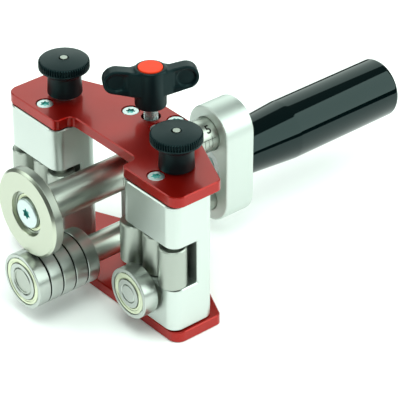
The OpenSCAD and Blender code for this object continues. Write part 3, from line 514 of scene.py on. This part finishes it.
def make_bearing(name, sizes, where, body, node, crimps=0):
    """A bearing's outer part. Crimps are the stabs that hold a shield; without them its sides are hidden in
    the stack, and the ring's flat sides are painted dark as painted shade between the rings.
    """
    solid, seat = bearing_ring(*sizes)
    # painted shade: without crimps, the ring's flat faces take the dark gap material
    for face in solid.faces:
        if not crimps and not face.material_index and abs(face.normal.z) > 0.9:
            face.material_index = 2
    solid.transform(where)
    piece = shown(name, solid, [RING, SHIELD, GAP_SHADE], 28.0)
    if crimps:
        turns = [spun(2 * math.pi * k / crimps + 0.35) for k in range(crimps)]
        cut(piece, *[(drill(0.3, -0.5, 0.6, 12), where @ turn @ at(seat + 0.12, 0, 0)) for turn in turns])
        resharpened(piece, 28.0)
    return fit(piece, body, "bearing_shields", node)


def make_bearings():
    """The stack's bearings, of which only the first shows its face, the support bearings and the disc's."""
    for i in range(STACK_COUNT):
        number = i + 1
        where = at(0, STACK_Y + STACK_PITCH * i, LOWER_Z, "Y")
        make_bearing("stack_ring_%d" % number, (12.0, 6.0, 6.0), where, "stack_%d" % number,
                     "stack_bearing_%d" % number, 6 if i == 0 else 0)
    for side, s in SIDES:
        make_bearing(side + "_support_ring", (11.0, 4.0, 7.0), at(s * SUPPORT_X, SUPPORT_Y, SUPPORT_Z, "Y"),
                     side + "_support", side + "_support_bearing", 6)
    solid, _ = bearing_ring(9.49, 5.0, 5.0)
    solid.transform(at(0, DISC_Y + 1.8, UPPER_Z, "Y"))
    fit(shown("disc_ring", solid, [RING, SHIELD], 28.0), "disc", "bearing_steel", "disc_bearing_outer")


# Machined pieces

def plate_outline(notched):
    """Outline of a plate; the top one has the sight notch."""
    front, notch_back, notch_half = -21.5, -13.2, 21.5
    right = [(55.6, front), (55.6, 2.0), (12.5, 21.5)]
    points = right + [(-x, y) for x, y in reversed(right)]
    radii = [5, 3, 3, 3, 3, 5]
    if notched:
        points += [(-notch_half, front), (-notch_half, notch_back), (notch_half, notch_back),
                   (notch_half, front)]
        radii += [2.5, 3, 3, 2.5]
    return soften(points, radii, closed=True, steps=10)


def make_plates():
    """The two red plates, with holes for screws, wing screw and plungers."""
    ease, hole_depth = 0.45, 6
    top = shown("top_plate_milled", prism(plate_outline(True), PLATE_TOP - PLATE_T, PLATE_TOP), RED)
    eased(top, ease, 1)
    holes = [(screw_hole(hole_depth), at(x, y, PLATE_TOP)) for x, y in plate_screw_spots()]
    holes.append((drill(4.15, 60, 75), at(0, STUD_Y, 0)))
    holes += [(drill(5.0 + FIT_GAP, 60, 75), at(s * PIVOT_X, PLUNGER_Y, 0)) for _, s in SIDES]
    fit(resharpened(cut(top, *holes), 20.0), "frame", "red_plate", "top_plate")
    bottom = shown("bottom_plate_milled", prism(plate_outline(False), 0.0, PLATE_T), RED)
    eased(bottom, ease, 1)
    holes = [(screw_hole(hole_depth), at(x, y, 0) @ FLIP) for x, y in plate_screw_spots()]
    fit(resharpened(cut(bottom, *holes), 20.0), "frame", "red_plate", "bottom_plate")


def kidney(radius, width, reach, low, high):
    """A slot along an arc round the origin, centred on +Y, reach degrees to each side."""
    half, steps = width / 2, 8
    swings = [math.radians(-reach + 2 * reach * k / steps) for k in range(steps + 1)]

    def arc(size, ways):
        return [(size * math.sin(a), size * math.cos(a)) for a in ways]

    def cap(end, way):
        radial, side = Vector((math.sin(end), math.cos(end))), Vector((math.cos(end), -math.sin(end)))
        turns = [math.pi * k / steps for k in range(1, steps)]
        return [tuple(radius * radial + way * half * (math.cos(a) * radial + math.sin(a) * side))
                for a in turns]

    outline = arc(radius + half, swings) + cap(swings[-1], 1)
    outline += arc(radius - half, reversed(swings)) + cap(swings[0], -1)
    return prism(outline, low, high)


def make_guide_blocks():
    """The two guide blocks, open round their rollers, bored for pins, plunger and support axle."""
    low, high, back = 5.3, 64.7, 0.0
    outline = soften([(21.2, BLOCK_FRONT), (54.3, BLOCK_FRONT), (54.3, back), (21.2, back)], 5.0, closed=True,
                     steps=12)
    window_low, window_high, window_back = 25.0, 45.0, -9.3
    window = ((15, -30), (60, -30), (60, window_back), (15, window_back))
    for side, s in SIDES:
        piece = shown(side + "_block_milled", prism([(s * x, y) for x, y in outline], low, high), BLOCK)
        cut(piece, prism([(s * x, y) for x, y in window], window_low, window_high))
        eased(piece, 0.5, 1, 40.0)
        pivot = at(s * PIVOT_X, PIVOT_Y, 0)
        holes = [(drill(4.05, 0, 14.1), pivot), (drill(4.05, 50.4, 70), pivot),
                 (kidney(PLUNGER_Y - PIVOT_Y, 5.6, 8, 60.9, 66.0), pivot),
                 (drill(4.0 + FIT_GAP, -3, 12), at(s * SUPPORT_X, BLOCK_FRONT, SUPPORT_Z, "Y"))]
        for i in (-1, 0, 1):
            spot = at(s * (PIVOT_X + ROLLER_PITCH * i), PIVOT_Y - ROLLER_STEP * abs(i), 0)
            holes.append((drill(2.5 + FIT_GAP, 23.5, 66, 32), spot))
        fit(resharpened(cut(piece, *holes), 20.0), side + "_guide", "aluminium_blocks", side + "_guide_block")


def make_yoke():
    """The end piece that ties the shafts together, with its big soft edge."""
    low, high, half, steps = 6.9, 62.0, 12.5, 24
    arc = [math.pi * k / steps for k in range(steps + 1)]
    # drawn flat, with the height along -Y, and then stood up
    outline = [(half * math.cos(a), -(high - half) - half * math.sin(a)) for a in arc]
    outline += [(-half * math.cos(a), -(low + half) + half * math.sin(a)) for a in arc]
    solid = prism(outline, 0, YOKE_T)
    solid.transform(at(0, YOKE_FRONT, 0, "Y"))
    piece = eased(shown("yoke_milled", solid, YOKE), 0.9, 3)
    seat_depth, lead_in = 9.0, 0.5
    holes = []
    for z, radius in ((UPPER_Z, UPPER_R + FIT_GAP), (LOWER_Z, LOWER_R + FIT_GAP)):
        wide = radius + lead_in
        seat = [(0, -2), (wide, -2), (wide, 0), (radius, lead_in), (radius, seat_depth), (0, seat_depth)]
        holes.append((turned(seat, 64), at(0, YOKE_FRONT, z, "Y")))
        holes.append((screw_hole(YOKE_T), at(0, YOKE_BACK, z, "Y")))
    # the handle bolt's head sits deep in the front, and its shank goes through to the handle
    recess = [(0, -2), (7.6, -2), (7.6, 0), (7.5, 0.1), (7.5, 9.0), (4.2, 9.0), (4.2, 18.0), (0, 18.0)]
    holes.append((turned(recess, 64), at(0, YOKE_FRONT, (low + high) / 2, "Y")))
    fit(resharpened(cut(piece, *holes), 22.0), "carriage", "aluminium_parts", "yoke")


def make_disc():
    """The folding disc: bevelled, bored for its ball bearing, with a ground rim whose darker grey is painted
    shade.
    """
    profile = [(9.5, 0.25), (9.75, 0.0), (18.0, 0.0), (19.1, 1.1), (19.1, 4.4), (18.5, 5.0), (12.0, 5.0),
               (12.0, 7.0), (9.5, 7.0)]
    rounding = [0, 0, 0.25, 0.25, 0.1, 0.1, 0.2, 0.3, 0.1]
    solid = turned(soften(profile, rounding, closed=True, steps=2), 192, closed=True)
    # painted shade: faces beyond this radius take the darker rim steel
    rim_from = 18.9
    for face in solid.faces:
        middle = face.calc_center_median()
        if math.hypot(middle.x, middle.y) > rim_from * MM:
            face.material_index = 1
    solid.transform(at(0, DISC_Y, UPPER_Z, "Y"))
    fit(shown("disc_turned", solid, [DISC, RIM_STEEL_AND_SHADE], 30.0), "disc", "disc_steel", "forming_disc")


def make_handle():
    """The moulded handle: a straight taper that meets the cylinder in a clear crease."""
    neck, grip, front, crease, length, axis_z = 11.5, 13.5, 0.8, 27.0, 85.5, 34.45
    taper = [(neck + (grip - neck) * t, front + (crease - front) * t) for t in (0, 0.04, 0.3, 0.6, 0.97, 1.0)]
    # the bore for the insert and its flange, then the rounded front edge
    profile = [(6.51, 28.0), (6.51, 1.5), (8.12, 1.5), (8.12, 0.0), (10.7, 0.0)] + taper
    profile += [(grip, crease + 0.8), (grip, 55.0)]
    profile += soften([(grip, 70.0), (grip, length), (0, length)], [0, 2.2, 0], steps=8)
    solid = turned([(0, 28.0)] + profile, 128)
    solid.transform(at(0, YOKE_BACK, axis_z, "Y"))
    fit(shown("handle_moulded", solid, PHENOLIC, 35.0), "carriage", "handle_plastic", "handle")


# Plungers

def make_knobs():
    """Moulded knobs: waisted neck, flared head, teeth that run out in the shoulder of its smooth low dome."""
    teeth, rim, deep, low = 60, 10.72, 0.75, 11.95
    # how far the shoulder has drawn in at each height
    shoulder = {low: 0.0, 13.7: 0.0, 14.1: 0.07, 14.4: 0.22, 14.62: 0.45, 14.8: 0.75}

    def notch(angle, height):
        if height not in shoulder:
            return 0
        phase = angle * teeth / (2 * math.pi) % 1.0
        return -max(0.0, deep * min(1.0, max(0.0, 2.5 - abs(phase - 0.6) * 8)) - shoulder[height])

    outer = soften([(6.46, -0.6), (7.4, -0.6), (7.1, 5.0), (7.15, 8.6), (9.6, 10.5), (rim, 11.2),
                    (rim, low - 0.02)], [0, 1.0, 4, 1.6, 1.5, 0.3, 0], steps=6)
    outer += [(rim - inset, height) for height, inset in shoulder.items()]
    dome = [(9.95 * (1 - t), 14.8 + 0.86 * (1 - (1 - t) ** 2)) for t in (0.05, 0.15, 0.3, 0.5, 0.7)]
    inner = [(2.2, 15.64), (1.98, 15.4), (1.98, 9.9), (2.51, 9.9), (2.51, 8.0), (6.46, 8.0)]
    for side, s in SIDES:
        lift = LEFT_RAISE if side == "left" else 0.0
        solid = turned(outer + dome + inner, 8 * teeth, closed=True, swell=notch)
        solid.transform(at(s * PIVOT_X, PLUNGER_Y, 71.0 + lift))
        knob = shown(side + "_knob_moulded", solid, NYLON, 38.0)
        fit(knob, side + "_plunger", "black_nylon", side + "_knob")


def make_springs():
    """The plungers' springs, which a lifted plunger presses up against the top of its sleeve."""
    for side, s in SIDES:
        node = side + "_plunger_spring"
        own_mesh(carried(node))


# Wing screw

WING_END, WING_END_Z = 14.4, 88.3


def wing_outline(ease=0.0):
    """Upper side outline of the right wing, along the wing and up, ease mm inside the edge."""
    radius = 5.4 - ease
    end = [(WING_END + radius * math.cos(a), WING_END_Z + radius * math.sin(a))
           for a in [math.radians(d) for d in range(-62, 101, 9)]]
    return end + [(9.5, 92.9 - ease), (7.6, 92.4 - ease), (5.5, 92.7 - ease)]


def make_wing_knob():
    """The moulded wing knob: hub and dished wings run into each other, and an orange cap closes the top."""
    middle = at(0, STUD_Y, 0)
    along = middle @ spun(math.radians(WING_ANGLE))
    turn = along @ Matrix.Rotation(math.radians(90), 4, "X")
    right, thick = wing_outline(), 2.85
    outline = right + [(-x, z) for x, z in reversed(right)] + [(-6.0, 80.5), (6.0, 80.5)]
    slab = prism(outline, -thick, thick)
    slab.transform(turn)
    piece = shown("wing_knob_moulded", slab, NYLON)
    # both faces of each wing: a flat sunk panel, and a deeper round dish at the end
    panels = []
    for end in (1, -1):
        panel = [(end * x, z) for x, z in wing_outline(1.5) if x > 8.6]
        panel += [(end * 8.0, 91.0), (end * 8.6, 84.4)]
        for face in (1, -1):
            panels.append((prism(panel, face * 2.35, face * 3.5), turn))
            panels.append((drill(3.9, 0, 3),
                           turn @ at(end * WING_END, WING_END_Z, face * 1.75 - (3.0 if face < 0 else 0.0))))
    cut(piece, *panels)
    wings = bmesh.new()
    wings.from_mesh(piece.data)
    hub = turned(soften([(0, 75.5), (6.65, 75.5), (6.65, 93.1), (0, 93.1)], [0, 0.6, 0.5, 0], steps=8), 96)
    # fillets that lead from the hub into the wings
    root = prism([(9.4, -2.6), (9.4, 2.6), (4.6, 4.9), (-4.6, 4.9), (-9.4, 2.6), (-9.4, -2.6), (-4.6, -4.9),
                  (4.6, -4.9)], 81.6, 92.3)
    joined(wings, (hub, middle), (root, along)).to_mesh(piece.data)
    # one skin over all three, its corners melted as in a mould
    remesh = piece.modifiers.new("remesh", "REMESH")
    remesh.mode, remesh.voxel_size, remesh.use_smooth_shade = "VOXEL", 0.26 * MM, True
    calm = piece.modifiers.new("calm", "SMOOTH")
    calm.factor, calm.iterations = 0.5, 20
    baked(piece)
    cut(piece, (drill(5.5, 92.0, 96, 64), middle), (drill(STUD_R + FIT_GAP, 74.0, 86.5), middle))
    fit(resharpened(piece, 45.0), "wing", "black_nylon", "wing_knob")
    cap = turned(soften([(0, 92.01), (5.15, 92.01), (5.15, 93.6), (0, 93.6)], [0, 0, 0.35, 0]), 64)
    cap.transform(middle)
    fit(shown("wing_cap_moulded", cap, ORANGE), "wing", "orange_cap", "wing_cap")


def make_stud():
    """The clamp screw with its rolled thread, 1 mm to the turn."""
    low, high, steps, rows = 59.3, 86.49, 48, 28 * 12
    # the thread is drawn 0.85 mm deep, so that it shows
    deep, run_out = 0.85, 1.2

    def thread(angle, height):
        turn = (height - angle / (2 * math.pi)) % 1.0
        depth = deep * min(1.0, max(0.0, abs(turn - 0.5) * 6 - 0.9))
        ends = min(1.0, (height - low) / run_out + 0.2)
        return -depth * ends - 0.3 * (1 - ends)

    profile = [(0, low)] + [(STUD_R, low + (high - low) * k / rows) for k in range(rows + 1)] + [(0, high)]
    solid = turned(profile, steps, swell=thread)
    solid.transform(at(0, STUD_Y, 0))
    fit(shown("wing_stud_threaded", solid, ZINC, 50.0), "wing", "zinc_hardware", "wing_stud")


# Scale

def shaft_point(angle, y, lift):
    """A point on the upper shaft, angle in degrees from +X, lift mm off it."""
    size = UPPER_R + lift
    turn = math.radians(angle)
    return Vector((size * math.cos(turn), y, UPPER_Z + size * math.sin(turn))) * MM


def mark(solid, angle_low, angle_high, y_low, y_high):
    """One filled line of the scale, as a thin skin on the shaft."""
    steps = max(2, int(abs(angle_high - angle_low) / 4))
    rows = []
    for k in range(steps + 1):
        angle = angle_low + (angle_high - angle_low) * k / steps
        rows.append([solid.verts.new(shaft_point(angle, y, lift))
                     for y, lift in ((y_low, -0.02), (y_low, 0.012), (y_high, 0.012), (y_high, -0.02))])
    for a, b in zip(rows, rows[1:]):
        for i in range(4):
            solid.faces.new((a[i], a[(i + 1) % 4], b[(i + 1) % 4], b[i]))
    solid.faces.new(rows[0][::-1])
    solid.faces.new(rows[-1])


def digit(number, y, angle, height):
    """A number bent round the shaft, height in mm, read from the disc towards the handle."""
    curve = bpy.data.curves.new("digit", "FONT")
    curve.body, curve.size, curve.extrude, curve.resolution_u = str(number), height * 1.35, 0.05, 3
    curve.align_x, curve.align_y, curve.offset = "CENTER", "CENTER", 0.12
    text = bpy.data.objects.new("digit", curve)
    scene.collection.objects.link(text)
    depsgraph = bpy.context.evaluated_depsgraph_get()
    mesh = bpy.data.meshes.new_from_object(text.evaluated_get(depsgraph))
    bpy.data.objects.remove(text)
    solid = bmesh.new()
    solid.from_mesh(mesh)
    # small faces, so that none cuts through the round of the shaft
    bmesh.ops.triangulate(solid, faces=solid.faces)
    bmesh.ops.subdivide_edges(solid, edges=solid.edges, cuts=2, use_grid_fill=True)
    for vert in solid.verts:
        along, up, out = vert.co
        vert.co = shaft_point(angle + math.degrees(up / UPPER_R), y + along, 0.02 if out > 0 else -0.02)
    return solid


def make_scale():
    """Centimetre marks 1 to 5 with 2 mm lines, rolled into the upper shaft and filled dark."""
    lines = bmesh.new()
    zero, step, line_half = -11.3, 2.0, 0.11
    mark(lines, 15.9, 17.3, zero + 1.9, zero + 51.8)
    for k in range(1, 26):
        y = zero + step * k
        long = k % 5 == 0
        mark(lines, -19.0 if long else -9.0, 27.0 if long else 16.6, y - line_half, y + line_half)
    digits = [digit(k, zero + 10.0 * k - 0.4, 49.5, 4.0) for k in range(1, 6)]
    bmesh.ops.recalc_face_normals(lines, faces=lines.faces)
    fit(shown("depth_scale", joined(lines, *digits), INK), "carriage", "shafts")


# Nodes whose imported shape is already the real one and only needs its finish
PLAIN = [
    "shaft_block", "upper_shaft_bush", "lower_shaft_bush", "left_pivot_pins", "right_pivot_pins",
    "left_roller_pins", "right_roller_pins", "left_support_inner_ring", "right_support_inner_ring",
    "left_plunger_sleeve", "right_plunger_sleeve", "clamp_pad", "upper_shaft", "lower_shaft",
    "handle_insert", "handle_bolt", "disc_bearing_inner", "stack_inner_rings",
    "left_outer_roller", "left_middle_roller", "left_inner_roller",
    "right_outer_roller", "right_middle_roller", "right_inner_roller",
]
for node in PLAIN:
    carried(node)
for side, _ in SIDES:
    carried(side + "_plunger_pin", 0.25)
    carried(side + "_support_axle", 0.25, material=RING)
make_plates()
make_guide_blocks()
make_yoke()
make_disc()
make_handle()
make_screws()
make_bearings()
make_knobs()
make_springs()
make_wing_knob()
make_stud()
make_scale()


# Floor, light and camera, in metres

def make_floor():
    """A pale table top that the tool stands on."""
    half = 3.0
    mesh = bpy.data.meshes.new("floor")
    corners = [(-half, -half), (half, -half), (half, half), (-half, half)]
    mesh.from_pydata([(x, y, cad_low.z) for x, y in corners], [], [(0, 1, 2, 3)])
    floor = bpy.data.objects.new("floor", mesh)
    scene.collection.objects.link(floor)
    # card, matt white, with the faintest unevenness
    mesh.materials.append(finish("white_card", "#fbfdfc", "#f4f6f5", 300, (0.85, 0.95), (1, 1, 1), 0.01))


def make_edge():
    """The table's dark edge, which only reflections see: a low ring round the tool."""
    radius, height, steps, middle_y = 0.3, 0.05, 96, 0.04
    ring = bmesh.new()
    turns = [2 * math.pi * k / steps for k in range(steps)]
    rows = [[ring.verts.new((radius * math.cos(a), radius * math.sin(a) + middle_y, z)) for a in turns]
            for z in (0.0, height)]
    for k in range(steps):
        n = (k + 1) % steps
        ring.faces.new((rows[0][k], rows[0][n], rows[1][n], rows[1][k]))
    mesh = bpy.data.meshes.new("table_edge")
    ring.to_mesh(mesh)
    ring.free()
    # paint, matt black
    mesh.materials.append(finish("dark_edge", "#020202", "#010101", 100, (0.8, 0.9), (1, 1, 1), 0.01))
    edge = bpy.data.objects.new("table_edge", mesh)
    scene.collection.objects.link(edge)
    edge.visible_camera = edge.visible_diffuse = edge.visible_shadow = False


def make_lamp(name, azimuth, elevation, away, width, height, glow, tint="#eefdf5"):
    """A soft box that faces the tool. glow is its brightness, where white paper in full light is 1."""
    a, e = math.radians(azimuth), math.radians(elevation)
    target = Vector((0.0, 0.02, 0.04))
    way = Vector((math.cos(a) * math.cos(e), math.sin(a) * math.cos(e), math.sin(e)))
    data = bpy.data.lights.new(name, "AREA")
    data.shape, data.size, data.size_y = "RECTANGLE", width, height
    data.energy = glow * math.pi * width * height
    data.color = srgb(tint)[:3]
    lamp = bpy.data.objects.new(name, data)
    scene.collection.objects.link(lamp)
    lamp.location = target + way * away
    lamp.rotation_mode = "QUATERNION"
    lamp.rotation_quaternion = way.to_track_quat("Z", "Y")
    lamp.visible_camera = False


def make_world():
    """A pale room that is looked at and lights the tool, and a darker one in its reflections."""
    world = bpy.data.worlds.new("studio")
    scene.world = world
    world.use_nodes = True
    tree = world.node_tree
    ray = add(tree, "ShaderNodeLightPath")
    fill = add(tree, "ShaderNodeMix", {"Factor": ray.outputs["Is Diffuse Ray"], "A": srgb("#626865"),
                                       "B": srgb("#dde1df")}, data_type="RGBA")
    shade = add(tree, "ShaderNodeMix", {"Factor": ray.outputs["Is Camera Ray"], "A": fill.outputs["Result"],
                                        "B": srgb("#fcfdfc")}, data_type="RGBA")
    tree.links.new(shade.outputs["Result"], tree.nodes["Background"].inputs["Color"])


def make_camera():
    """The photograph's view: azimuth 49.85 and elevation 33.2 degrees, square frame."""
    azimuth, elevation, distance = math.radians(49.85), math.radians(33.2), 0.96313
    target = Vector((0.02795, 0.01426, 0.04161))
    # focal length in pixels of the photograph, which is 400 wide
    focal, photo_width, sensor = 2348.1, 400, 36.0
    back = Vector((math.sin(azimuth) * math.cos(elevation), -math.cos(azimuth) * math.cos(elevation),
                   math.sin(elevation)))
    data = bpy.data.cameras.new("photo_camera")
    data.sensor_width = sensor
    data.lens = focal / photo_width * sensor
    data.clip_start, data.clip_end = 0.05, 20.0
    camera = bpy.data.objects.new("photo_camera", data)
    scene.collection.objects.link(camera)
    camera.location = target + back * distance
    camera.rotation_mode = "QUATERNION"
    camera.rotation_quaternion = back.to_track_quat("Z", "Y")
    scene.camera = camera


make_floor()
make_edge()
make_world()
make_lamp("box_right_back", 45, 27, 0.8, 0.8, 0.72, 2.9)
make_lamp("box_left_back", 140, 25, 0.8, 0.8, 0.66, 1.6)
make_lamp("box_left_front", -140, 38, 0.8, 0.5, 0.4, 2.35)
make_lamp("box_over", -45, 74, 0.9, 0.6, 0.6, 4.6)
make_camera()
